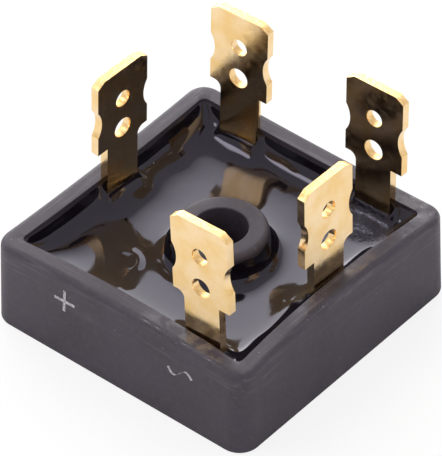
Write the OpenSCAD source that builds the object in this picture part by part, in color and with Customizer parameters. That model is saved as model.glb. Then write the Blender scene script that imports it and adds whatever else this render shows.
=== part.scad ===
// Three-phase bridge rectifier in a square potted case.
// A moulded case with a screw tube is closed below by an aluminium heat-sink plate.
// Six diode dice sit on two copper bus plates, three straps join them in pairs, and
// five stamped tab terminals rise out of the cast resin that fills the case.
// Origin: middle of the seat. +Z up. The marked side of the case faces -Y.

/* [Case] */
// Width and depth of the square case at its foot
case_w = 28.8; // [28:0.1:29.4]
// Height of the case from the seat to the rim
case_h = 8.8; // [8.4:0.1:10]
// Draft of the outer walls in degrees
draft = 1.2; // [0:0.1:1.6]
// Radius of the upright corners at the foot
corner_r = 2.0; // [1.4:0.1:2.4]
// Radius of the rounded outer edge of the rim
rim_r = 0.6; // [0.3:0.1:0.8]
// Width of the rim between the outer face and the well
rim_w = 1.8; // [1.6:0.1:2]
// Inward bow of the right wall at its top, set by the shrinking resin
bow_right = 0.65; // [0:0.05:0.7]
// Inward bow of the back wall at its top
bow_back = 0.21; // [0:0.05:0.3]
// Inward bow of the left wall at its top
bow_left = 0.27; // [0:0.05:0.3]
// Inward bow of the front wall at its top
bow_front = 0.62; // [0:0.05:0.7]

/* [Screw tube] */
// Bore of the screw tube, a clearance hole for a No. 8 or M4 screw
bore_d = 4.9; // [4.3:0.1:5.2]
// Diameter of the flat seat on top of the tube
tube_seat_d = 7.3; // [6.6:0.1:7.6]
// Diameter of the tube just below its rounded top edge
tube_d = 8.5; // [8.2:0.1:8.8]
// Diameter of the tube at the floor
tube_foot_d = 9.0; // [8.8:0.1:9.2]

/* [Heat-sink plate] */
// Width and depth of the exposed face of the plate
plate_w = 24.4; // [22:0.2:24.6]
// Thickness of the plate
plate_t = 2.0; // [1.8:0.1:2.2]
// Width of the ledge that keys the plate into the case
plate_ledge = 0.6; // [0.3:0.1:0.7]

/* [Terminals] */
// Width of the tab
tab_w = 6.3; // [6:0.1:6.4]
// Thickness of the terminal sheet
tab_t = 0.8; // [0.7:0.05:0.9]
// Height of the tab's tip above the seat
tip_z = 21.1; // [20:0.1:23]
// Height of the tab's shoulders above the seat
shoulder_z = 12.8; // [12:0.1:13.4]
// Width of the neck below the shoulders
neck_w = 3.9; // [3.4:0.1:4.2]
// Width of the slanted tip corners
tip_chamfer_w = 0.85; // [0.4:0.05:1.2]
// Height of the slanted tip corners
tip_chamfer_h = 0.55; // [0.3:0.05:1]
// Diameter of the upper wire hole
upper_hole_d = 1.7; // [1.4:0.1:1.9]
// Diameter of the lower wire hole
lower_hole_d = 2.0; // [1.6:0.1:2.2]
// Depth of the rounded side notches
notch_depth = 0.48; // [0.3:0.02:0.6]
// Length of the side notches along the tab
notch_l = 3.0; // [2:0.1:3.4]
// Radius of the rounded inner shoulder
shoulder_r = 0.75; // [0.3:0.05:0.9]

/* [Resin] */
// Level of the resin pool above the seat
pool_z = 5.8; // [5.6:0.1:6.4]
// Rise of the resin where it wets the left and back walls
wall_climb = 2.7; // [1.5:0.1:2.8]
// Rise of the resin where it wets the right wall
right_climb = 2.5; // [1.5:0.1:2.8]
// Rise of the resin where it wets the front wall
front_climb = 2.2; // [1.5:0.1:2.8]
// Rise of the resin where it wets the screw tube
tube_climb = 2.2; // [1:0.1:2.6]

/* [Hidden] */
$fn = 64;
eps = 0.01;

// Levels of the stack, from the seat upwards
web_t = 0.5;
bus_t = 0.8;
solder_t = 0.1;
die_t = 0.35;
strap_t = 0.5;
floor_z = plate_t + web_t;
bus_top_z = floor_z + bus_t;
die_z = bus_top_z + solder_t;
strap_z = die_z + die_t + solder_t;
strap_top_z = strap_z + strap_t;
dc_foot_z = bus_top_z + solder_t;
ac_foot_z = strap_top_z + solder_t;

// Plan of the bus plates, dice and straps
bus_gap = 1.4;
bus_half = 11.6;
bus_clear_r = 5.2;
die_w = 2.9;
row_front = -7.6;
row_near = 6.7;
row_back = 10.1;
dice_front = [-3.6, 7.9];
dice_near = [-3.1, 7.4];
dice_back = [-7.5, 2.7];
strap_w = 2.8;

// Terminals: [x, y, turn, sideways tilt, lean, rise, foot side, rounded shoulder side].
// Each was bent up by hand, so each leans a little its own way.
bend_z = 7.07;
foot_l = 3.8;
bend_r = 0.4;
neck_lap = 0.2;
t_positive = [-11.67, -0.15, 88.0, -1.1, 2.8, 0.33, -1, 1];
t_negative = [11.12, 0.83, 88.7, -0.7, -0.2, -0.87, 1, 1];
t_ac_1 = [7.98, -11.44, -0.4, -2.4, -0.6, 0.03, 1, -1];
t_ac_2 = [-7.53, 11.58, 2.4, 0.3, -1.7, 0.10, -1, -1];
t_ac_3 = [7.94, 11.62, -0.2, -1.2, -2.1, 0.07, -1, -1];

// Resin round each terminal's neck: [x, y, half length along x, along y, rise]
wets = [[-11.67, -0.15, 0.4, 1.95, 1.3], [11.12, 0.83, 0.4, 1.95, 1.5],
        [7.98, -11.44, 1.95, 0.4, 1.5], [-7.53, 11.58, 1.95, 0.4, 1.2],
        [7.94, 11.62, 1.95, 0.4, 1.6]];
// Low mounds of resin over three of the feet: [x, y, half length along x, along y, height]
mounds = [[8.1, 10.4, 2.6, 1.3, 0.9], [-10.9, -0.4, 1.2, 2.4, 0.35], [-7.6, 10.8, 2.2, 1.0, 0.3]];

// ---- Case outline: a rounded square whose sides bow inwards with height ----

side_steps = 18;
arc_steps = 5;
half_foot = case_w / 2;
function outer_half(z) = half_foot - z * tan(draft);
function quarter(half, r) = let (c = half - r) concat(
    [for (i = [0:side_steps]) [half, c * (2 * i / side_steps - 1)]],
    [for (i = [1:arc_steps - 1]) let (a = 90 * i / arc_steps) [c + r * cos(a), c + r * sin(a)]]);
function turned(p, q) = q == 0 ? p : turned([-p[1], p[0]], q - 1);
function square_ring(half, r) = [for (q = [0:3]) for (p = quarter(half, r)) turned(p, q)];
function pull(v, across, half, lo, hi) =
    v - sign(v) * (v > 0 ? hi : lo) * (1 - pow(across / half, 2)) * pow(abs(v) / half, 8);
function bowed(p, half, k) = [pull(p[0], p[1], half, bow_left * k, bow_right * k),
                              pull(p[1], p[0], half, bow_front * k, bow_back * k)];
function ring(half, r, z) = [for (p = square_ring(half, r))
    let (b = bowed(p, half, z / case_h)) [b[0], b[1], z]];

// Solid through a stack of rings of equal length, closed by a flat fan of faces at each end
module loft(rings) {
    n = len(rings[0]);
    m = len(rings);
    low = m * n;
    polyhedron(
        points = concat([for (r = rings) for (p = r) p],
            [[0, 0, rings[0][0][2]], [0, 0, rings[m - 1][0][2]]]),
        faces = concat(
            [for (i = [0:n - 1]) [low, i, (i + 1) % n]],
            [for (j = [0:m - 2]) for (i = [0:n - 1]) let (k = (i + 1) % n)
                [j * n + i, (j + 1) * n + i, (j + 1) * n + k]],
            [for (j = [0:m - 2]) for (i = [0:n - 1]) let (k = (i + 1) % n)
                [j * n + i, (j + 1) * n + k, j * n + k]],
            [for (i = [0:n - 1]) [low + 1, (m - 1) * n + (i + 1) % n, (m - 1) * n + i]]));
}

module rounded_slab(w, h, r) {
    translate([-w / 2 + r, -w / 2, 0]) cube([w - 2 * r, w, h]);
    translate([-w / 2, -w / 2 + r, 0]) cube([w, w - 2 * r, h]);
    for (x = [-1, 1]) for (y = [-1, 1])
        translate([x * (w / 2 - r), y * (w / 2 - r), 0]) cylinder(r = r, h = h);
}

// ---- Case ----

rim_steps = 4;
well_half = outer_half(case_h) - rim_w;
well_r = 0.7;

module case_block() {
    edge_z = case_h - rim_r;
    loft(concat(
        [ring(half_foot, corner_r, 0)],
        [for (i = [0:rim_steps]) let (a = 90 * i / rim_steps, cut = rim_r * (1 - cos(a)),
            half = outer_half(edge_z)) ring(half - cut, corner_r - cut, edge_z + rim_r * sin(a))]));
}

module well() {
    loft([ring(well_half, well_r, floor_z), ring(well_half, well_r, case_h + 1)]);
}

// Screw tube: flat seat on top, rounded top edge, drafted flank
module tube() {
    edge = (tube_d - tube_seat_d) / 2;
    rotate_extrude() polygon(concat(
        [[0, floor_z - web_t], [tube_foot_d / 2, floor_z - web_t]],
        [for (a = [0:15:90]) [tube_seat_d / 2 + edge * cos(a), case_h - edge + edge * sin(a)]],
        [[0, case_h]]));
}

module plate_solid() {
    rounded_slab(plate_w, plate_t / 2, 1.2);
    translate([0, 0, plate_t / 2]) rounded_slab(plate_w + 2 * plate_ledge, plate_t / 2, 1.6);
}

module shell() color([0.17, 0.16, 0.18]) difference() {
    union() {
        difference() {
            case_block();
            well();
        }
        tube();
    }
    difference() {
        plate_solid();
        cylinder(d = tube_d - 1, h = plate_t);
    }
    translate([0, 0, -1]) cylinder(d = bore_d, h = case_h + 2);
}

module base_plate() color([0.78, 0.79, 0.80]) difference() {
    plate_solid();
    translate([0, 0, -1]) cylinder(d = tube_d - 1, h = plate_t + 2);
}

// ---- Bus plates ----

module bus(side) color([0.80, 0.48, 0.30]) translate([0, 0, floor_z]) difference() {
    intersection() {
        rounded_slab(2 * bus_half, bus_t, 1);
        translate([side > 0 ? bus_gap / 2 : -bus_half - 1, -bus_half - 1, -1])
            cube([bus_half + 1 - bus_gap / 2, 2 * bus_half + 2, bus_t + 2]);
    }
    translate([0, 0, -1]) cylinder(r = bus_clear_r, h = bus_t + 2);
}

// ---- Dice, solder and straps ----

module pad(x, y, z, w, h) translate([x - w / 2, y - w / 2, z]) cube([w, w, h]);

module die(x, y) color([0.35, 0.36, 0.40]) pad(x, y, die_z, die_w, die_t);

dice = [[dice_front, row_front], [dice_near, row_near], [dice_back, row_back]];

module dice_solder(z) color([0.70, 0.71, 0.73])
    for (d = dice) for (x = d[0]) pad(x, d[1], z, die_w - 0.2, solder_t);

module strap(x0, x1, y) translate([x0, y - strap_w / 2, strap_z]) cube([x1 - x0, strap_w, strap_t]);

// A wider end under a terminal's foot, reaching from the strap to the wall side
module strap_end(x, y0, y1) translate([x - neck_w / 2, y0, strap_z]) cube([neck_w, y1 - y0, strap_t]);

module strap_ac_1() color([0.80, 0.48, 0.30]) {
    strap(dice_front[0] - 1.6, t_ac_1[0] + neck_w / 2, row_front);
    strap_end(t_ac_1[0], t_ac_1[1] + 0.2, row_front);
}

module strap_ac_2() color([0.80, 0.48, 0.30])
    strap(t_ac_2[0] - neck_w / 2, dice_back[1] + 1.6, row_back);

module strap_ac_3() color([0.80, 0.48, 0.30]) {
    strap(dice_near[0] - 1.6, t_ac_3[0] + neck_w / 2, row_near);
    strap_end(t_ac_3[0], row_near, t_ac_3[1] - 0.2);
}

module foot_solder(t, z) translate([t[0], t[1], z - solder_t]) rotate([0, 0, t[2]])
    translate([-neck_w / 2 + 0.2, t[6] > 0 ? 1.4 : -2.9, 0]) cube([neck_w - 0.4, 1.5, solder_t]);

module solder_feet() color([0.70, 0.71, 0.73]) {
    foot_solder(t_positive, dc_foot_z);
    foot_solder(t_negative, dc_foot_z);
    foot_solder(t_ac_1, ac_foot_z);
    foot_solder(t_ac_2, ac_foot_z);
    foot_solder(t_ac_3, ac_foot_z);
}

// ---- Terminals: stamped from sheet, bent at the foot, leaning above bend_z ----

module tab_blank(h_shoulder, h_tip, round_side) difference() {
    union() {
        translate([-neck_w / 2, -tab_t / 2, -neck_lap]) cube([neck_w, tab_t, h_shoulder + 1]);
        translate([0, tab_t / 2, 0]) rotate([90, 0, 0]) linear_extrude(tab_t) polygon([
            [-tab_w / 2, h_shoulder], [tab_w / 2, h_shoulder],
            [tab_w / 2, h_tip - tip_chamfer_h], [tab_w / 2 - tip_chamfer_w, h_tip],
            [-tab_w / 2 + tip_chamfer_w, h_tip], [-tab_w / 2, h_tip - tip_chamfer_h]]);
        translate([round_side * (neck_w + shoulder_r) / 2, 0, h_shoulder - shoulder_r / 2])
            cube([shoulder_r, tab_t, shoulder_r + eps], center = true);
    }
    translate([round_side * (neck_w / 2 + shoulder_r), 0, h_shoulder - shoulder_r])
        rotate([90, 0, 0]) cylinder(r = shoulder_r, h = 2, center = true);
    tab_holes(h_tip);
}

// Two wire holes on the middle line and a shallow round notch in each side
module tab_holes(h_tip) {
    notch_r = (pow(notch_l / 2, 2) + pow(notch_depth, 2)) / (2 * notch_depth);
    translate([0, 0, h_tip - 3.5]) rotate([90, 0, 0]) cylinder(d = upper_hole_d, h = 2, center = true);
    translate([0, 0, h_tip - 6.95]) rotate([90, 0, 0]) cylinder(d = lower_hole_d, h = 2, center = true);
    for (s = [-1, 1]) translate([s * (tab_w / 2 - notch_depth + notch_r), 0, h_tip - 4.75])
        rotate([90, 0, 0]) cylinder(r = notch_r, h = 2, center = true);
}

module foot(z, side) {
    out_r = bend_r + tab_t;
    start = out_r - tab_t / 2;
    translate([-neck_w / 2, side > 0 ? start : -foot_l, z]) cube([neck_w, foot_l - start, tab_t]);
    translate([-neck_w / 2, side * start, z + out_r]) mirror([0, side > 0 ? 0 : 1, 0])
        rotate([0, 90, 0]) rotate([0, 0, -90]) rotate_extrude(angle = 90)
            translate([bend_r, 0]) square([tab_t, neck_w]);
    translate([-neck_w / 2, -tab_t / 2, z + out_r]) cube([neck_w, tab_t, bend_z - z - out_r]);
}

module terminal(t, foot_z) color([0.88, 0.74, 0.42]) translate([t[0], t[1], 0]) rotate([0, 0, t[2]]) {
    foot(foot_z, t[6]);
    translate([0, 0, bend_z]) rotate([t[4], t[3], 0])
        tab_blank(shoulder_z + t[5] - bend_z, tip_z + t[5] - bend_z, t[7]);
}

// ---- Resin: a pool that climbs the walls, the tube and the terminals ----

steps_out = [0, 0.015, 0.04, 0.08, 0.16, 0.3, 0.45, 0.6, 0.72, 0.81, 0.88, 0.93, 0.965, 0.985, 1];
embed = 0.3;
resin_top = case_h - 0.12;
blend = 1.4;
cap_blend = 5;
// Shape of a wetted edge: [share of the steep film, its reach, reach of the long low foot]
wall_film = [0.5, 0.4, 1.8];
tube_film = [0.72, 0.16, 0.9];
neck_film = [0.5, 0.25, 0.9];

function creep(d, rise, film) = rise * (film[0] * exp(-d / film[1]) + (1 - film[0]) * exp(-d / film[2]));
function wall_creep(v, across, bow, rise) =
    creep(max(0, well_half - 0.9 * bow * (1 - pow(across / well_half, 2)) - v), rise, wall_film);
function gap_to(w, p) = norm([max(abs(p[0] - w[0]) - w[2], 0), max(abs(p[1] - w[1]) - w[3], 0)]);
function mound(m, p) = m[4] * exp(-pow((p[0] - m[0]) / m[2], 2) - pow((p[1] - m[1]) / m[3], 2));
function rises(p, tube_gap) = [wall_creep(-p[0], p[1], bow_left, wall_climb),
    wall_creep(p[1], p[0], bow_back, wall_climb), wall_creep(p[0], p[1], bow_right, right_climb),
    wall_creep(-p[1], p[0], bow_front, front_climb), creep(tube_gap, tube_climb, tube_film),
    for (w = wets) creep(gap_to(w, p), w[4], neck_film), for (m = mounds) mound(m, p)];
function joined(list, power, i = 0) =
    i == len(list) ? 0 : pow(list[i], power) + joined(list, power, i + 1);
function resin_z(p, tube_gap) = let (rise = pow(joined(rises(p, tube_gap), blend), 1 / blend))
    pool_z + pow(pow(rise, -cap_blend) + pow(resin_top - pool_z, -cap_blend), -1 / cap_blend);
function resin_ring(u) = [for (p = square_ring(well_half + embed, well_r + embed))
    let (b = bowed(p, well_half + embed, 0.95), near = (tube_d / 2 - 0.2) * b / norm(b),
         q = near + (b - near) * u)
    [q[0], q[1], resin_z(q, max(0, norm(q) - tube_d / 2))]];

module resin_block() {
    outer = square_ring(well_half + embed, well_r + embed);
    rings = concat([[for (p = outer) (tube_d / 2 - 0.2) * [p[0], p[1], 0] / norm(p) + [0, 0, floor_z]]],
        [for (u = steps_out) resin_ring(u)], [[for (p = outer) [p[0], p[1], floor_z]]]);
    n = len(outer);
    m = len(rings);
    polyhedron(points = [for (r = rings) for (p = r) p],
        faces = [for (j = [0:m - 1]) for (i = [0:n - 1]) for (half = [0, 1])
            let (k = (i + 1) % n, j2 = (j + 1) % m)
            half == 0 ? [j * n + i, j2 * n + i, j2 * n + k] : [j * n + i, j2 * n + k, j * n + k]]);
}

module potting() color([0.10, 0.09, 0.10]) difference() {
    intersection() {
        resin_block();
        well();
    }
    tube();
    bus(-1);
    bus(1);
    for (d = dice) for (x = d[0]) die(x, d[1]);
    dice_solder(bus_top_z);
    dice_solder(die_z + die_t);
    strap_ac_1();
    strap_ac_2();
    strap_ac_3();
    solder_feet();
    terminal(t_positive, dc_foot_z);
    terminal(t_negative, dc_foot_z);
    terminal(t_ac_1, ac_foot_z);
    terminal(t_ac_2, ac_foot_z);
    terminal(t_ac_3, ac_foot_z);
}

shell();
base_plate();
bus(-1);  // bus_positive
bus(1);  // bus_negative
die(dice_front[0], row_front);  // die_ac_1_high
die(dice_front[1], row_front);  // die_ac_1_low
die(dice_back[0], row_back);  // die_ac_2_high
die(dice_back[1], row_back);  // die_ac_2_low
die(dice_near[0], row_near);  // die_ac_3_high
die(dice_near[1], row_near);  // die_ac_3_low
dice_solder(bus_top_z);  // solder_under_dice
dice_solder(die_z + die_t);  // solder_over_dice
strap_ac_1();
strap_ac_2();
strap_ac_3();
solder_feet();
terminal(t_positive, dc_foot_z);  // terminal_positive
terminal(t_negative, dc_foot_z);  // terminal_negative
terminal(t_ac_1, ac_foot_z);  // terminal_ac_1
terminal(t_ac_2, ac_foot_z);  // terminal_ac_2
terminal(t_ac_3, ac_foot_z);  // terminal_ac_3
potting();
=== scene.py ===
import math

import bpy
from mathutils import Matrix, Vector, noise


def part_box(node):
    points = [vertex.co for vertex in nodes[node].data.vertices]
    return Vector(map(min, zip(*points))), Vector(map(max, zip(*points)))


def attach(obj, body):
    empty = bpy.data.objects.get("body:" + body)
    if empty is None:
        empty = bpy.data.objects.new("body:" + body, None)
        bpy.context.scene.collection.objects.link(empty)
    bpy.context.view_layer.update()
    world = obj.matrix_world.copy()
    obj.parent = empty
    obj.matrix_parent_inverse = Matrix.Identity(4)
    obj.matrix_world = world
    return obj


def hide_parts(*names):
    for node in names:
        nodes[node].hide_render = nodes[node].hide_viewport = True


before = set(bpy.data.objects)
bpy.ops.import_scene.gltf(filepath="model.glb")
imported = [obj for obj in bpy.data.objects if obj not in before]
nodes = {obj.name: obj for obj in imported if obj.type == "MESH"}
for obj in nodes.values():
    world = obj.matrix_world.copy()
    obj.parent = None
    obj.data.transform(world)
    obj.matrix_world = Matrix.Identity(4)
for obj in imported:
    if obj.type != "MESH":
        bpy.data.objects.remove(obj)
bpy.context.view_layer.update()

MM = 0.001
bpy.ops.object.select_all(action="DESELECT")


# ---- Heat-sink plate ----
# A square of rolled aluminium sheet, punched for the screw and moulded into the
# underside of the case. Its mill finish shows fine lines along the rolling direction.

def linear(code):
    """sRGB hex colour to the linear values that shaders take."""
    channels = [int(code[i:i + 2], 16) / 255 for i in (1, 3, 5)]
    return [c / 12.92 if c <= 0.04045 else ((c + 0.055) / 1.055) ** 2.4 for c in channels] + [1]


def add_node(tree, kind, settings=None, inputs=None):
    """A shader node with its settings, and inputs that are values or other nodes' outputs."""
    new = tree.nodes.new(kind)
    for name, value in (settings or {}).items():
        setattr(new, name, value)
    for name, value in (inputs or {}).items():
        if isinstance(value, bpy.types.NodeSocket):
            tree.links.new(value, new.inputs[name])
        else:
            new.inputs[name].default_value = value
    return new


def start_material(name, settings):
    """A material with one Principled shader, and object coordinates in millimetres."""
    material = bpy.data.materials.new(name)
    material.use_nodes = True
    tree = material.node_tree
    shader = tree.nodes["Principled BSDF"]
    for key, value in settings.items():
        shader.inputs[key].default_value = value
    place = add_node(tree, "ShaderNodeTexCoord").outputs["Object"]
    per_mm = add_node(tree, "ShaderNodeMapping", inputs={"Vector": place, "Scale": (1000, 1000, 1000)})
    return material, tree, shader, per_mm.outputs["Vector"]


def ramp(tree, source, stops):
    """A colour ramp with [position, colour] stops."""
    new = add_node(tree, "ShaderNodeValToRGB", inputs={"Fac": source})
    while len(new.color_ramp.elements) < len(stops):
        new.color_ramp.elements.new(0.5)
    for element, (position, colour) in zip(new.color_ramp.elements, stops):
        element.position = position
        element.color = colour
    return new.outputs["Color"]


def grey(value):
    """An opaque grey of this linear value."""
    return (value, value, value, 1)


def link(tree, output, shader, name):
    """Joins a node's output to a named input of the shader."""
    tree.links.new(output, shader.inputs[name])


def rolled_aluminium():
    """Mill-finished sheet: bright, with fine lines along Y left by the rolls."""
    material, tree, shader, place = start_material("aluminium sheet, rolled", {"Metallic": 1.0})
    lines = add_node(tree, "ShaderNodeMapping", inputs={"Vector": place, "Scale": (6, 0.15, 1)})
    grain = add_node(tree, "ShaderNodeTexNoise", inputs={"Vector": lines.outputs["Vector"],
                                                         "Scale": 1.0, "Detail": 4.0})
    link(tree, ramp(tree, grain.outputs["Fac"], [(0.3, linear("#b9bbbd")), (0.7, linear("#d6d7d8"))]),
         shader, "Base Color")
    link(tree, ramp(tree, grain.outputs["Fac"], [(0.3, grey(0.28)), (0.7, grey(0.42))]),
         shader, "Roughness")
    bump = add_node(tree, "ShaderNodeBump", inputs={"Height": grain.outputs["Fac"], "Strength": 0.15,
                                                    "Distance": 0.02 * MM})
    link(tree, bump.outputs["Normal"], shader, "Normal")
    return material


def dress(names, material):
    """Gives one material to all the faces of these pieces."""
    for name in names:
        for slot in nodes[name].material_slots:
            slot.material = material


dress(["base_plate"], rolled_aluminium())


# ---- Bus plates, straps, dice and solder ----
# Copper stampings carry six silicon dice under the resin. They are soldered together
# before the resin is cast, so their faces are dulled by flux and heat.

def stamped_copper():
    """Soft copper sheet, tarnished a little unevenly by the soldering heat."""
    material, tree, shader, place = start_material("copper sheet, stamped", {"Metallic": 1.0})
    cloud = add_node(tree, "ShaderNodeTexNoise", inputs={"Vector": place, "Scale": 0.6, "Detail": 3.0})
    link(tree, ramp(tree, cloud.outputs["Fac"], [(0.35, linear("#b5714f")), (0.7, linear("#d99b78"))]),
         shader, "Base Color")
    link(tree, ramp(tree, cloud.outputs["Fac"], [(0.3, grey(0.3)), (0.7, grey(0.5))]), shader, "Roughness")
    return material


def sawn_silicon():
    """Passivated silicon: dark blue-grey with a faint sheen."""
    material, tree, shader, place = start_material("silicon, sawn and passivated", {"Roughness": 0.25})
    cloud = add_node(tree, "ShaderNodeTexNoise", inputs={"Vector": place, "Scale": 2.0, "Detail": 2.0})
    link(tree, ramp(tree, cloud.outputs["Fac"], [(0.3, linear("#343742")), (0.7, linear("#4b4f5c"))]),
         shader, "Base Color")
    return material


def reflowed_solder():
    """Tin solder: pale grey, slightly frosted where it froze."""
    material, tree, shader, place = start_material("tin solder, reflowed", {"Metallic": 1.0})
    frost = add_node(tree, "ShaderNodeTexNoise", inputs={"Vector": place, "Scale": 5.0, "Detail": 3.0})
    link(tree, ramp(tree, frost.outputs["Fac"], [(0.3, linear("#a5a7aa")), (0.7, linear("#c9cacc"))]),
         shader, "Base Color")
    link(tree, ramp(tree, frost.outputs["Fac"], [(0.3, grey(0.25)), (0.7, grey(0.45))]), shader, "Roughness")
    return material


dress(["bus_positive", "bus_negative", "strap_ac_1", "strap_ac_2", "strap_ac_3"], stamped_copper())
dress([name for name in nodes if name.startswith("die_")], sawn_silicon())
dress(["solder_under_dice", "solder_over_dice", "solder_feet"], reflowed_solder())


# ---- Case ----
# One moulding of black glass-filled thermoset: four drafted walls with a soft rim, and a
# screw tube in the middle. The resin has shrunk as it set and pulled the walls inwards.

case_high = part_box("shell")[1]
case_half = case_high[0] / MM
case_top = case_high[2] / MM
draft = 1.2
corner_r = 2.0
rim_r = 0.6
rim_w = 1.8
well_r = 0.7
top_half = case_half - case_top * math.tan(math.radians(draft))
well_half = top_half - rim_w
bows = {"left": 0.27, "back": 0.21, "right": 0.65, "front": 0.62}
bore_r = 2.45
tube_seat_r = 3.65
tube_r = 4.25
tube_foot_r = 4.5
spigot_r = 3.75
foot_r = 0.15
lip_r = 0.08
plate_half = 12.2
plate_t = 2.0
plate_corner_r = 1.2
well_floor = 2.5
strip_w = 1.5
strips_reach = 10.6


def pull(v, across, half, low, high):
    """How a wall point moves inwards: most at mid-length, nothing at the corners."""
    bow = high if v > 0 else low
    return v - math.copysign(bow, v) * (1 - (across / half) ** 2) * min(1, abs(v / half)) ** 8


def bowed(x, y, half, share):
    """A point of the walls after the resin has pulled them in, by this share of the bow."""
    return (pull(x, y, half, bows["left"] * share, bows["right"] * share),
            pull(y, x, half, bows["front"] * share, bows["back"] * share))


def edit(piece):
    """Makes a piece the active one, in edit mode with nothing selected."""
    bpy.ops.object.select_all(action="DESELECT")
    bpy.context.view_layer.objects.active = piece
    piece.select_set(True)
    bpy.ops.object.mode_set(mode="EDIT")
    bpy.ops.mesh.select_all(action="DESELECT")


def pick(piece, kind, test):
    """In edit mode, selects only the vertices, edges or faces that pass the test."""
    bpy.ops.mesh.select_mode(type={"vertices": "VERT", "edges": "EDGE", "polygons": "FACE"}[kind])
    bpy.ops.mesh.select_all(action="DESELECT")
    bpy.ops.object.mode_set(mode="OBJECT")
    for item in getattr(piece.data, kind):
        item.select = test(item)
    bpy.ops.object.mode_set(mode="EDIT")


def done(piece, name, smooth=35):
    """Ends editing: names the piece, puts its place in its mesh and smooths it by angle."""
    bpy.ops.object.mode_set(mode="OBJECT")
    bpy.ops.object.select_all(action="DESELECT")
    piece.select_set(True)
    bpy.context.view_layer.objects.active = piece
    bpy.ops.object.transform_apply(location=True, rotation=True, scale=True)
    bpy.ops.object.shade_smooth_by_angle(angle=math.radians(smooth))
    flat = piece.modifiers.new("flat faces stay flat", "WEIGHTED_NORMAL")
    flat.keep_sharp = True
    flat.weight = 100
    bpy.ops.object.modifier_apply(modifier=flat.name)
    piece.name = name
    piece.data.name = name
    return piece


def upright(piece, edge):
    """True for an edge that runs up a corner of the block."""
    a, b = (piece.data.vertices[i].co for i in edge.vertices)
    return abs(a.z - b.z) > 1 * MM and (a - b).xy.length < 0.5 * MM


def at_height(piece, item, z):
    """True where all the vertices lie at this height."""
    return all(abs(piece.data.vertices[i].co.z - z * MM) < 0.001 * MM for i in item.vertices)


def rounded_block(low, high, half, radius, draft_angle=0.0, segments=10):
    """A square block with round upright corners, its walls leaning in with height."""
    bpy.ops.mesh.primitive_cube_add(size=1, location=(0, 0, (low + high) / 2 * MM),
                                    scale=(2 * half * MM, 2 * half * MM, (high - low) * MM))
    block = bpy.context.object
    bpy.ops.object.transform_apply(location=True, rotation=True, scale=True)
    edit(block)
    pick(block, "edges", lambda e: upright(block, e))
    bpy.ops.mesh.bevel(offset=radius * MM, segments=segments, affect="EDGES")
    shrink = (high - low) * math.tan(math.radians(draft_angle))
    pick(block, "vertices", lambda v: v.co.z > (high - 0.01) * MM)
    bpy.ops.transform.resize(value=((half - shrink) / half, (half - shrink) / half, 1))
    return block


def bisect_grid(step, reach):
    """Cuts the selected mesh into strips across X and Y, so that long walls can bow."""
    count = int(reach / step)
    for i in range(-count, count + 1):
        for normal in ((1, 0, 0), (0, 1, 0)):
            bpy.ops.mesh.select_all(action="SELECT")
            bpy.ops.mesh.bisect(plane_co=[c * i * step * MM for c in normal], plane_no=normal)


def case_walls():
    """Outer block with a soft rim, opened from above and below and closed by wall faces."""
    block = rounded_block(0, case_top, case_half, corner_r, draft)
    pick(block, "polygons", lambda f: f.normal.z > 0.9)
    bpy.ops.mesh.bevel(offset=rim_r * MM, segments=5, affect="EDGES")
    pick(block, "polygons", lambda f: f.normal.z < -0.9)
    bpy.ops.mesh.bevel(offset=foot_r * MM, segments=2, affect="EDGES")
    pick(block, "polygons", lambda f: abs(f.normal.z) > 0.99 and f.area > 100 * MM * MM)
    bpy.ops.mesh.delete(type="ONLY_FACE")
    bpy.ops.object.mode_set(mode="OBJECT")
    well = inner_walls(well_floor, case_top, well_half, well_r)
    recess = inner_walls(0, plate_t / 2, plate_half, plate_corner_r)
    for piece in (block, well, recess):
        piece.select_set(True)
    bpy.context.view_layer.objects.active = block
    bpy.ops.object.join()
    edit(block)
    for z in (case_top, 0):
        pick(block, "edges", lambda e: at_height(block, e, z))
        bpy.ops.mesh.bridge_edge_loops()
    pick(block, "edges", lambda e: at_height(block, e, case_top) and inside_of(block, e, well_half))
    bpy.ops.mesh.bevel(offset=lip_r * MM, segments=2, affect="EDGES")
    bisect_grid(strip_w, strips_reach)
    bpy.ops.mesh.select_all(action="SELECT")
    bpy.ops.mesh.normals_make_consistent(inside=False)
    bpy.ops.object.mode_set(mode="OBJECT")
    for v in block.data.vertices:
        x, y, z = v.co / MM
        half = max(abs(x), abs(y))
        v.co.x, v.co.y = [c * MM for c in bowed(x, y, half, z / case_top)]
    return block


def inner_walls(low, high, half, radius):
    """An open square sleeve whose faces look inwards."""
    sleeve = rounded_block(low, high, half, radius)
    pick(sleeve, "polygons", lambda f: abs(f.normal.z) > 0.99)
    bpy.ops.mesh.delete(type="ONLY_FACE")
    bpy.ops.mesh.select_all(action="SELECT")
    bpy.ops.mesh.flip_normals()
    bpy.ops.object.mode_set(mode="OBJECT")
    return sleeve


def inside_of(piece, edge, half):
    """True for an edge that runs along the rounded square of this half width."""
    return all(max(abs(c) for c in piece.data.vertices[i].co.xy) < (half + 0.01) * MM
               for i in edge.vertices)


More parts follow.
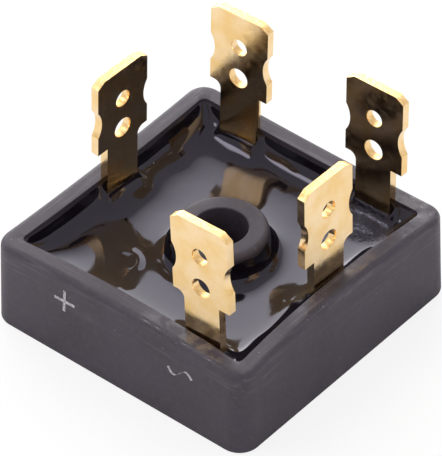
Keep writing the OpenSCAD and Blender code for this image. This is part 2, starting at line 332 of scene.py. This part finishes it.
def screw_tube():
    """The tube: flat seat, rounded top edge, drafted flank, and the bore right through it.
    Below the floor of the case it narrows to a spigot in the heat-sink plate's hole."""
    bpy.ops.mesh.primitive_cylinder_add(vertices=96, radius=tube_foot_r * MM,
                                        depth=(case_top - plate_t) * MM,
                                        location=(0, 0, (case_top + plate_t) / 2 * MM))
    tube = bpy.context.object
    bpy.ops.object.transform_apply(location=True, rotation=True, scale=True)
    edit(tube)
    pick(tube, "polygons", lambda f: f.normal.z > 0.9)
    bpy.ops.transform.resize(value=(tube_r / tube_foot_r, tube_r / tube_foot_r, 1))
    bpy.ops.mesh.bevel(offset=(tube_r - tube_seat_r) * MM, segments=6, affect="EDGES")
    pick(tube, "polygons", lambda f: f.normal.z > 0.99 and f.area > 10 * MM * MM)
    bpy.ops.mesh.inset(thickness=(tube_seat_r - bore_r - lip_r) * MM)
    bpy.ops.mesh.inset(thickness=lip_r * MM, depth=-lip_r * MM)
    bpy.ops.mesh.delete(type="ONLY_FACE")
    pick(tube, "polygons", lambda f: f.normal.z < -0.99)
    bpy.ops.mesh.inset(thickness=(tube_foot_r - spigot_r) * MM)
    bpy.ops.mesh.extrude_region_move(TRANSFORM_OT_translate={"value": (0, 0, -plate_t * MM)})
    bpy.ops.mesh.inset(thickness=(spigot_r - bore_r) * MM)
    bpy.ops.mesh.delete(type="ONLY_FACE")
    pick(tube, "edges", lambda e: all(tube.data.vertices[i].co.xy.length < (bore_r + 0.01) * MM
                                      for i in e.vertices))
    bpy.ops.mesh.bridge_edge_loops()
    bpy.ops.mesh.select_all(action="SELECT")
    bpy.ops.mesh.normals_make_consistent(inside=False)
    bpy.ops.object.mode_set(mode="OBJECT")
    return tube


def blot(tree, place, centre, size):
    """A soft round patch, 1 at its centre and 0 at its edge, placed in millimetres."""
    local = add_node(tree, "ShaderNodeMapping", {"vector_type": "TEXTURE"},
                     {"Vector": place, "Location": centre, "Scale": size})
    ball = add_node(tree, "ShaderNodeTexGradient", {"gradient_type": "SPHERICAL"},
                    {"Vector": local.outputs["Vector"]})
    return ball.outputs["Fac"]


def blend(tree, kind, one, other, factor=1.0):
    """Mixes two colours or masks with a mixing mode."""
    mix = add_node(tree, "ShaderNodeMix", {"data_type": "RGBA", "blend_type": kind, "clamp_result": True},
                   {0: factor, 6: one, 7: other})
    return mix.outputs[2]


def calculate(tree, operation, *values):
    """The result of one sum done on masks or values."""
    return add_node(tree, "ShaderNodeMath", {"operation": operation}, dict(enumerate(values))).outputs[0]


def noise_at(tree, place, per_mm, detail=3.0, stretch=(1, 1, 1)):
    """Noise with this many features to the millimetre, drawn out along an axis."""
    local = add_node(tree, "ShaderNodeMapping", inputs={"Vector": place, "Scale": stretch})
    return add_node(tree, "ShaderNodeTexNoise", inputs={"Vector": local.outputs["Vector"],
                                                        "Scale": per_mm, "Detail": detail}).outputs["Fac"]


def specks(tree, place, per_mm, radius):
    """Sparse round specks: one in about every third cell of the pattern."""
    cells = add_node(tree, "ShaderNodeTexVoronoi", inputs={"Vector": place, "Scale": per_mm})
    edge = radius * per_mm
    dot = ramp(tree, cells.outputs["Distance"], [(edge * 0.7, grey(1)), (edge, grey(0))])
    some = ramp(tree, cells.outputs["Color"], [(0.66, grey(0)), (0.7, grey(1))])
    return blend(tree, "MULTIPLY", dot, some)


def rim_spill(tree, place, spots):
    """Patches on the rim where resin or its froth ran over."""
    patches = [blot(tree, place, centre, size) for centre, size in spots]
    joined = blend(tree, "LIGHTEN", blend(tree, "LIGHTEN", patches[0], patches[1]), patches[2])
    return ramp(tree, joined, [(0.05, grey(0)), (0.4, grey(1))])


spill_spots = [((6.5, -13.2, 8.8), (6, 3, 1)), ((13.4, 0.5, 8.8), (3, 7, 1)),
               ((12.9, 12.2, 8.8), (5, 5, 1))]
bubble_spots = [((13.0, -2.6, 8.8), (1.6, 2.6, 1)), ((12.6, 12.6, 8.8), (2.5, 2.5, 1)),
                ((12.9, -9.5, 8.8), (1.2, 3.0, 1))]
streaks_from = 6.0


def moulded_thermoset():
    """Glass-filled thermoset from a spark-eroded mould: charcoal, matte, with a fine grain,
    rubbed lighter in streaks along the rim, and glossy where the resin ran over it."""
    material, tree, shader, place = start_material("thermoset, glass-filled, moulded", {"IOR": 1.45})
    body = ramp(tree, noise_at(tree, place, 0.25), [(0.3, linear("#332d36")), (0.7, linear("#3d3641"))])
    mottle = ramp(tree, noise_at(tree, place, 2.2, 4.0), [(0.45, grey(0)), (0.75, grey(0.35))])
    body = blend(tree, "MIX", body, linear("#4a444e"), mottle)
    along_x = ramp(tree, noise_at(tree, place, 1.0, 4.0, (0.12, 3, 3)), [(0.54, grey(0)), (0.7, grey(0.4))])
    along_y = ramp(tree, noise_at(tree, place, 1.0, 4.0, (3, 0.12, 3)), [(0.54, grey(0)), (0.7, grey(0.4))])
    axes = add_node(tree, "ShaderNodeSeparateXYZ", inputs={"Vector": place}).outputs
    side_x = calculate(tree, "ABSOLUTE", axes["X"])
    side_y = calculate(tree, "ABSOLUTE", axes["Y"])
    on_x_wall = calculate(tree, "GREATER_THAN", side_x, side_y)
    rim = add_node(tree, "ShaderNodeMapRange", inputs={"Value": axes["Z"], "From Min": 4.5, "From Max": 8.8})
    off_tube = calculate(tree, "GREATER_THAN", calculate(tree, "MAXIMUM", side_x, side_y), streaks_from)
    rubbed = blend(tree, "MIX", along_x, along_y, on_x_wall)
    rubbed = blend(tree, "MULTIPLY", blend(tree, "MULTIPLY", rubbed, rim.outputs["Result"]), off_tube)
    body = blend(tree, "MIX", body, linear("#6a646e"), rubbed)
    dust = specks(tree, place, 1.1, 0.055)
    bubbles = blend(tree, "MULTIPLY", specks(tree, place, 3.2, 0.05), rim_spill(tree, place, bubble_spots))
    body = blend(tree, "MIX", body, linear("#8c8790"), blend(tree, "MULTIPLY", dust, grey(0.8)))
    body = blend(tree, "MIX", body, linear("#b9ae9c"), bubbles)
    link(tree, body, shader, "Base Color")
    spill = blend(tree, "MULTIPLY", rim_spill(tree, place, spill_spots),
                  ramp(tree, noise_at(tree, place, 0.9, 3.0), [(0.4, grey(0)), (0.6, grey(1))]))
    dull = ramp(tree, noise_at(tree, place, 0.5), [(0.3, grey(0.52)), (0.7, grey(0.62))])
    link(tree, blend(tree, "MIX", dull, grey(0.24), spill), shader, "Roughness")
    grain = noise_at(tree, place, 6.0, 3.0)
    bump = add_node(tree, "ShaderNodeBump", inputs={"Height": grain, "Strength": 0.5,
                                                    "Distance": 0.03 * MM})
    link(tree, bump.outputs["Normal"], shader, "Normal")
    return material


walls = case_walls()
tube = screw_tube()
bpy.ops.object.select_all(action="DESELECT")
tube.select_set(True)
walls.select_set(True)
bpy.context.view_layer.objects.active = walls
bpy.ops.object.join()
edit(walls)
case = done(walls, "moulded_case")
case.data.materials.append(moulded_thermoset())
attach(case, "root")
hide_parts("shell")


# ---- Polarity marks ----
# Pale ink rolled on the front wall: a plus on the side of the positive terminal and a wave
# by an alternating one. The ink is thin and pales unevenly over the grain of the moulding.

mark_w = 0.3
ink_t = 0.015
stub = 0.05
before_wall = 20.0
plus_x = -6.1
plus_z = 6.2
plus_reach = 1.1
wave_x = 7.05
wave_z = 5.6
wave_reach = 1.35
wave_high = 0.5


def stroke(points):
    """A flat stroke of ink in the XZ plane, extruded from point to point."""
    bpy.ops.object.select_all(action="DESELECT")
    bpy.ops.mesh.primitive_plane_add(size=mark_w * MM, location=(0, -before_wall * MM, 0),
                                     rotation=(math.pi / 2, 0, 0))
    ink = bpy.context.object
    bpy.ops.object.transform_apply(location=True, rotation=True, scale=True)
    for v in ink.data.vertices:
        (x, z), (x2, z2) = points[0], points[1]
        side = math.copysign(mark_w / 2, v.co.z)
        lean = math.atan2(z2 - z, x2 - x)
        end = 0 if v.co.x < 0 else stub
        v.co.x, v.co.z = [c * MM for c in (x + end * math.cos(lean) - side * math.sin(lean),
                                           z + end * math.sin(lean) + side * math.cos(lean))]
    edit(ink)
    pick(ink, "edges", lambda e: all((ink.data.vertices[i].co.xz - Vector(points[0]) * MM).length
                                     > 0.98 * math.hypot(stub, mark_w / 2) * MM for i in e.vertices))
    for (x, z), (x2, z2) in zip(points, points[1:]):
        bpy.ops.mesh.extrude_region_move(TRANSFORM_OT_translate={"value": ((x2 - x) * MM, 0, (z2 - z) * MM)})
    bpy.ops.object.mode_set(mode="OBJECT")
    return ink


def inked(strokes, name):
    """Strokes joined into one mark and laid on the wall behind them."""
    bpy.ops.object.select_all(action="DESELECT")
    for ink in strokes:
        ink.select_set(True)
    bpy.context.view_layer.objects.active = strokes[0]
    if len(strokes) > 1:
        bpy.ops.object.join()
    mark = strokes[0]
    lay = mark.modifiers.new("laid on the wall", "SHRINKWRAP")
    lay.target = case
    lay.offset = ink_t * MM
    lay.wrap_method = "PROJECT"
    lay.use_project_y = True
    lay.use_positive_direction = True
    bpy.ops.object.modifier_apply(modifier=lay.name)
    edit(mark)
    bpy.ops.mesh.select_all(action="SELECT")
    bpy.ops.mesh.normals_make_consistent(inside=False)
    bpy.ops.object.mode_set(mode="OBJECT")
    mark = done(mark, name)
    mark.data.materials.append(ink_material)
    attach(mark, "root")


def marking_ink():
    """Pale grey ink on a grainy wall: matte, and darker where the grain left it thin."""
    material, tree, shader, place = start_material("marking ink, rolled on", {"Roughness": 0.7})
    gaps = noise_at(tree, place, 4.0, 3.0)
    link(tree, ramp(tree, gaps, [(0.35, linear("#77727a")), (0.6, linear("#b4b0b5"))]), shader, "Base Color")
    return material


ink_material = marking_ink()
wave = [(wave_x + wave_reach * t, wave_z + wave_high * math.sin(math.pi * t))
        for t in [i / 12 - 1 for i in range(25)]]
inked([stroke([(plus_x - plus_reach, plus_z), (plus_x, plus_z), (plus_x + plus_reach, plus_z)]),
       stroke([(plus_x, plus_z - plus_reach), (plus_x, plus_z), (plus_x, plus_z + plus_reach)])],
      "plus_mark")
inked([stroke(wave)], "wave_mark")


# ---- Terminals ----
# Stamped from sheet with two wire holes and a notch in each side, and plated a bright
# gold colour. The press leaves a soft edge all round.

def gold_plating():
    """Bright plating over rolled brass: a mirror softened by the rolling texture, with
    fine pits that catch the light."""
    material, tree, shader, place = start_material("brass, stamped, gold-coloured plating",
                                                   {"Metallic": 1.0})
    cloud = add_node(tree, "ShaderNodeTexNoise", inputs={"Vector": place, "Scale": 0.5, "Detail": 3.0})
    link(tree, ramp(tree, cloud.outputs["Fac"], [(0.35, linear("#e6c183")), (0.65, linear("#ecd0a4"))]),
         shader, "Base Color")
    haze = add_node(tree, "ShaderNodeTexNoise", inputs={"Vector": place, "Scale": 1.6, "Detail": 4.0})
    link(tree, ramp(tree, haze.outputs["Fac"], [(0.35, grey(0.10)), (0.7, grey(0.22))]), shader, "Roughness")
    grain = add_node(tree, "ShaderNodeTexNoise", inputs={"Vector": place, "Scale": 9.0, "Detail": 3.0})
    bump = add_node(tree, "ShaderNodeBump", inputs={"Height": grain.outputs["Fac"], "Strength": 0.12,
                                                    "Distance": 0.02 * MM})
    link(tree, bump.outputs["Normal"], shader, "Normal")
    return material


def sheared_edge():
    """The cut edge of the stamping: the same plating over a torn, grainy cut."""
    material, tree, shader, place = start_material("brass, sheared, gold-coloured plating",
                                                   {"Metallic": 1.0, "Roughness": 0.42})
    tear = add_node(tree, "ShaderNodeTexNoise", inputs={"Vector": place, "Scale": 4.0, "Detail": 4.0})
    link(tree, ramp(tree, tear.outputs["Fac"], [(0.3, linear("#d9ac66")), (0.7, linear("#ecd0a0"))]),
         shader, "Base Color")
    bump = add_node(tree, "ShaderNodeBump", inputs={"Height": tear.outputs["Fac"], "Strength": 0.4,
                                                    "Distance": 0.05 * MM})
    link(tree, bump.outputs["Normal"], shader, "Normal")
    return material


plating = gold_plating()
torn = sheared_edge()
edge_r = 0.09


def terminal(node):
    """The stamping, with its sheared edges rounded over."""
    bpy.ops.object.select_all(action="DESELECT")
    blank = nodes[node].copy()
    blank.data = nodes[node].data.copy()
    bpy.context.collection.objects.link(blank)
    blank.parent = None
    edit(blank)
    bpy.ops.mesh.select_all(action="SELECT")
    bpy.ops.mesh.remove_doubles(threshold=0.0005 * MM)
    bpy.ops.mesh.dissolve_limited(angle_limit=math.radians(1))
    bpy.ops.object.mode_set(mode="OBJECT")
    bevel = blank.modifiers.new("sheared edge", "BEVEL")
    bevel.width = edge_r * MM
    bevel.segments = 3
    bevel.limit_method = "ANGLE"
    bevel.angle_limit = math.radians(40)
    bpy.ops.object.modifier_apply(modifier=bevel.name)
    edit(blank)
    piece = done(blank, node + "_tab")
    piece.data.materials.clear()
    piece.data.materials.append(plating)
    piece.data.materials.append(torn)
    flat = max(piece.data.polygons, key=lambda f: f.area).normal.copy()
    for face in piece.data.polygons:
        face.material_index = int(abs(face.normal.dot(flat)) < 0.6 and face.normal.z > 0.5)
    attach(piece, "root")
    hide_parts(node)


terminals = ["terminal_positive", "terminal_negative", "terminal_ac_1", "terminal_ac_2", "terminal_ac_3"]
for name in terminals:
    terminal(name)


# ---- Resin ----
# Black epoxy poured over the soldered parts. It levels itself to a gloss, and creeps up
# the walls, the tube and the necks of the terminals before it sets.

pool_z = 5.8
steps_around = 480
steps_out = 110
walls_wet = [("left", 0, -1, 2.7, 0.3), ("back", 1, 1, 2.7, 0.3), ("right", 0, 1, 2.8, 0.6),
             ("front", 1, -1, 2.3, 0.4)]
wall_steep, wall_far = 0.45, 1.7
tube_wet = 3.2
tube_film = (0.8, 0.26, 0.9)
neck_film = (0.5, 0.25, 0.9)
resin_merge = 1.4
rim_merge = 5
below_rim = 0.12
necks = [(-11.67, -0.15, 0.4, 1.95, 1.3), (11.12, 0.83, 0.4, 1.95, 1.5), (7.98, -11.44, 1.95, 0.4, 1.5),
         (-7.53, 11.58, 1.95, 0.4, 1.2), (7.94, 11.62, 1.95, 0.4, 1.6)]
mounds = [(8.1, 10.2, 2.8, 1.2, 0.7), (-10.9, -0.4, 1.2, 2.4, 0.35), (-7.6, 10.8, 2.2, 1.0, 0.3)]
ripples = [(-5.9, -6.6, 1.5, 0.45, 0.06, 1.2), (5.5, 8.0, 1.2, 0.5, 0.03, 2.0)]


def wall_point(turn, z, margin):
    """The point of the well's wall at a turn from 0 to 1 round it."""
    half, r = well_half + margin, well_r + margin
    straight = 2 * (half - r)
    arc = math.pi / 2 * r
    along = (turn % 0.25) * 4 * (straight + arc)
    if along < straight:
        x, y = half, along - straight / 2
    else:
        a = (along - straight) / r
        x = half - r + r * math.cos(a)
        y = half - r + r * math.sin(a)
    for _ in range(int(turn * 4) % 4):
        x, y = -y, x
    return bowed(x, y, max(abs(x), abs(y)), z / case_top)


def creep(gap, rise, steep, near, far):
    """Rise of the resin at a gap from what it wets: a steep film and a long low foot."""
    return rise * (steep * math.exp(-gap / near) + (1 - steep) * math.exp(-gap / far))


def resin_height(x, y, tube_gap):
    """Height of the set resin: level pool, wetted walls, tube and necks, mounds and ripples."""
    rises = []
    for side, axis, sign, rise, film in walls_wet:
        across_wall = (y, x)[axis]
        inset = bows[side] * 0.9 * (1 - (across_wall / well_half) ** 2)
        gap = max(0, well_half - inset - sign * (x, y)[axis])
        wave = 1 + 0.08 * noise.noise((across_wall * 0.35, axis * 7.0 + sign, 0.5))
        rises.append(creep(gap, rise * wave, wall_steep, film, wall_far))
    turn = math.atan2(y, x)
    lump = 1 + 0.25 * noise.noise((math.cos(turn) * 2.2, math.sin(turn) * 2.2, 4.0))
    rises.append(creep(tube_gap, tube_wet * lump, *tube_film))
    for nx, ny, wide, deep, rise in necks:
        gap = math.hypot(max(abs(x - nx) - wide, 0), max(abs(y - ny) - deep, 0))
        rises.append(creep(gap, rise, *neck_film))
    for mx, my, wide, deep, rise in mounds:
        rises.append(rise * math.exp(-((x - mx) / wide) ** 2 - ((y - my) / deep) ** 2))
    swell = 0.03 * noise.noise((x * 0.22, y * 0.22, 3.0))
    for rx, ry, radius, width, high, lean in ripples:
        ring = math.hypot(x - rx, y - ry) - radius
        facing = max(0, math.cos(math.atan2(y - ry, x - rx) - lean))
        swell += high * facing * math.exp(-(ring / width) ** 2)
    total = sum(r ** resin_merge for r in rises) ** (1 / resin_merge)
    room = case_top - below_rim - pool_z
    return pool_z + swell + (total ** -rim_merge + room ** -rim_merge) ** (-1 / rim_merge)


def resin_pool():
    """The free surface, as a grid wrapped round the tube and stretched out to the walls."""
    bpy.ops.mesh.primitive_grid_add(x_subdivisions=steps_around, y_subdivisions=steps_out, size=1)
    pool = bpy.context.object
    inner = tube_r - 0.06
    for v in pool.data.vertices:
        turn, out = (v.co.x + 0.5) % 1.0, v.co.y + 0.5
        out = 0.5 - 0.5 * math.cos(math.pi * out)
        wx, wy = wall_point(turn, 8.4, 0.05)
        reach = math.hypot(wx, wy)
        scale = (inner + (reach - inner) * out) / reach
        x, y = wx * scale, wy * scale
        v.co = Vector((x, y, resin_height(x, y, (reach - inner) * out))) * MM
    edit(pool)
    bpy.ops.mesh.select_all(action="SELECT")
    bpy.ops.mesh.remove_doubles(threshold=0.001 * MM)
    if sum(f.normal.z for f in pool.data.polygons) < 0:
        bpy.ops.mesh.flip_normals()
    return done(pool, "cast_resin", 180)


def cast_epoxy():
    """Unfilled black epoxy: nearly black and wet-looking, with faint swells in its skin,
    a little dust on it, and a pebbled skin where froth set round one foot."""
    material, tree, shader, place = start_material("epoxy, black, cast",
                                                   {"IOR": 1.45, "Specular Tint": linear("#efe8ff")})
    body = ramp(tree, noise_at(tree, place, 0.3), [(0.3, linear("#0f0c12")), (0.7, linear("#151118"))])
    dust = specks(tree, place, 0.45, 0.07)
    link(tree, blend(tree, "MIX", body, linear("#c9c5cb"), dust), shader, "Base Color")
    froth = ramp(tree, blot(tree, place, (8.2, 10.0, 7.0), (4.4, 2.6, 4)), [(0.2, grey(0)), (0.45, grey(1))])
    clean = ramp(tree, noise_at(tree, place, 0.4), [(0.4, grey(0.04)), (0.7, grey(0.09))])
    skin = blend(tree, "MIX", clean, grey(0.17), froth)
    link(tree, blend(tree, "MIX", skin, grey(0.7), dust), shader, "Roughness")
    swells = add_node(tree, "ShaderNodeBump", inputs={"Height": noise_at(tree, place, 0.3, 2.0),
                                                      "Strength": 0.3, "Distance": 0.05 * MM})
    pebbles = blend(tree, "MULTIPLY", noise_at(tree, place, 2.6, 3.0), froth)
    bump = add_node(tree, "ShaderNodeBump", inputs={"Height": pebbles, "Strength": 0.8,
                                                    "Distance": 0.09 * MM,
                                                    "Normal": swells.outputs["Normal"]})
    link(tree, bump.outputs["Normal"], shader, "Normal")
    return material


resin = resin_pool()
resin.data.materials.append(cast_epoxy())
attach(resin, "root")
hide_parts("potting")


# ---- Table, light and camera ----
# A white table and a white room lit softly from all sides, with two windows and a lamp
# whose soft-edged reflections show in the resin and the plating.

table_size = 3
below_part = 0.02
table_glow = 0.8
room_light = 0.85
bpy.ops.mesh.primitive_plane_add(size=table_size, location=(0, 0, -below_part * MM))
table = bpy.context.object
table.name = "table"
paper = bpy.data.materials.new("white paper")
paper.use_nodes = True
tree = paper.node_tree
matte = tree.nodes["Principled BSDF"]
matte.inputs["Base Color"].default_value = linear("#f4f4f4")
matte.inputs["Roughness"].default_value = 0.9
rays = add_node(tree, "ShaderNodeLightPath")
glow = add_node(tree, "ShaderNodeEmission", inputs={"Color": (1, 1, 1, 1), "Strength": 1.0})
share = calculate(tree, "MULTIPLY", rays.outputs["Is Camera Ray"], table_glow)
shown = add_node(tree, "ShaderNodeMixShader", inputs={0: share, 1: matte.outputs[0],
                                                      2: glow.outputs[0]})
tree.links.new(shown.outputs[0], tree.nodes["Material Output"].inputs["Surface"])
table.data.materials.append(paper)

world = bpy.data.worlds.new("white room")
bpy.context.scene.world = world
world.use_nodes = True
tree = world.node_tree
sky = tree.nodes["Background"]
rays = add_node(tree, "ShaderNodeLightPath")
seen = calculate(tree, "MAXIMUM", rays.outputs["Is Camera Ray"], rays.outputs["Is Glossy Ray"])
level = add_node(tree, "ShaderNodeMapRange", inputs={"Value": seen, "To Min": room_light, "To Max": 1.0})
tree.links.new(level.outputs[0], sky.inputs["Strength"])
sky.inputs["Color"].default_value = (1, 1, 1, 1)


def softbox(name, place, wide, high, radiance):
    """A rectangular lamp facing the part, bright in the middle and fading at its edges."""
    lamp = bpy.data.lights.new(name, "AREA")
    lamp.shape = "RECTANGLE"
    lamp.size = wide
    lamp.size_y = high
    lamp.energy = radiance * math.pi * wide * high
    lamp.use_nodes = True
    tree = lamp.node_tree
    on_lamp = add_node(tree, "ShaderNodeNewGeometry").outputs["Parametric"]
    from_centre = add_node(tree, "ShaderNodeMapping", {"vector_type": "TEXTURE"},
                           {"Vector": on_lamp, "Location": (0.5, 0.5, 0), "Scale": (0.6, 0.6, 1)})
    fade = add_node(tree, "ShaderNodeTexGradient", {"gradient_type": "SPHERICAL"},
                    {"Vector": from_centre.outputs["Vector"]})
    level = ramp(tree, fade.outputs["Fac"], [(0.0, grey(0)), (0.5, grey(1))])
    tree.links.new(level, tree.nodes["Emission"].inputs["Strength"])
    holder = bpy.data.objects.new(name, lamp)
    bpy.context.collection.objects.link(holder)
    holder.location = place
    holder.rotation_euler = (-Vector(place)).to_track_quat("-Z", "Y").to_euler()


softbox("window on the left", (-0.57, 0.46, 0.36), 1.05, 0.90, 3.0)
softbox("low window on the left", (-0.66, 0.48, 0.19), 0.90, 0.22, 2.0)
softbox("lamp over the left", (-0.40, -0.36, 0.66), 0.36, 0.24, 7.0)

camera_az = math.radians(40.32)
camera_el = math.radians(41.81)
camera_far = 457.67 * MM
aim = Vector((-0.359, 0.425, 8.084)) * MM
roll = math.radians(-0.57)
back = Vector((math.sin(camera_az) * math.cos(camera_el), -math.cos(camera_az) * math.cos(camera_el),
               math.sin(camera_el)))
level_right = Vector((0, 0, 1)).cross(back).normalized()
level_up = back.cross(level_right)
right = level_right * math.cos(roll) + level_up * math.sin(roll)
up = level_up * math.cos(roll) - level_right * math.sin(roll)
lens = bpy.data.cameras.new("camera")
lens.sensor_width = 36
lens.lens = 412.6
lens.clip_start = 0.01
camera = bpy.data.objects.new("camera", lens)
bpy.context.collection.objects.link(camera)
turn = Matrix((right, up, back)).transposed().to_4x4()
camera.matrix_world = Matrix.Translation(aim + back * camera_far) @ turn
bpy.context.scene.camera = camera
bpy.context.scene.view_settings.view_transform = "Standard"
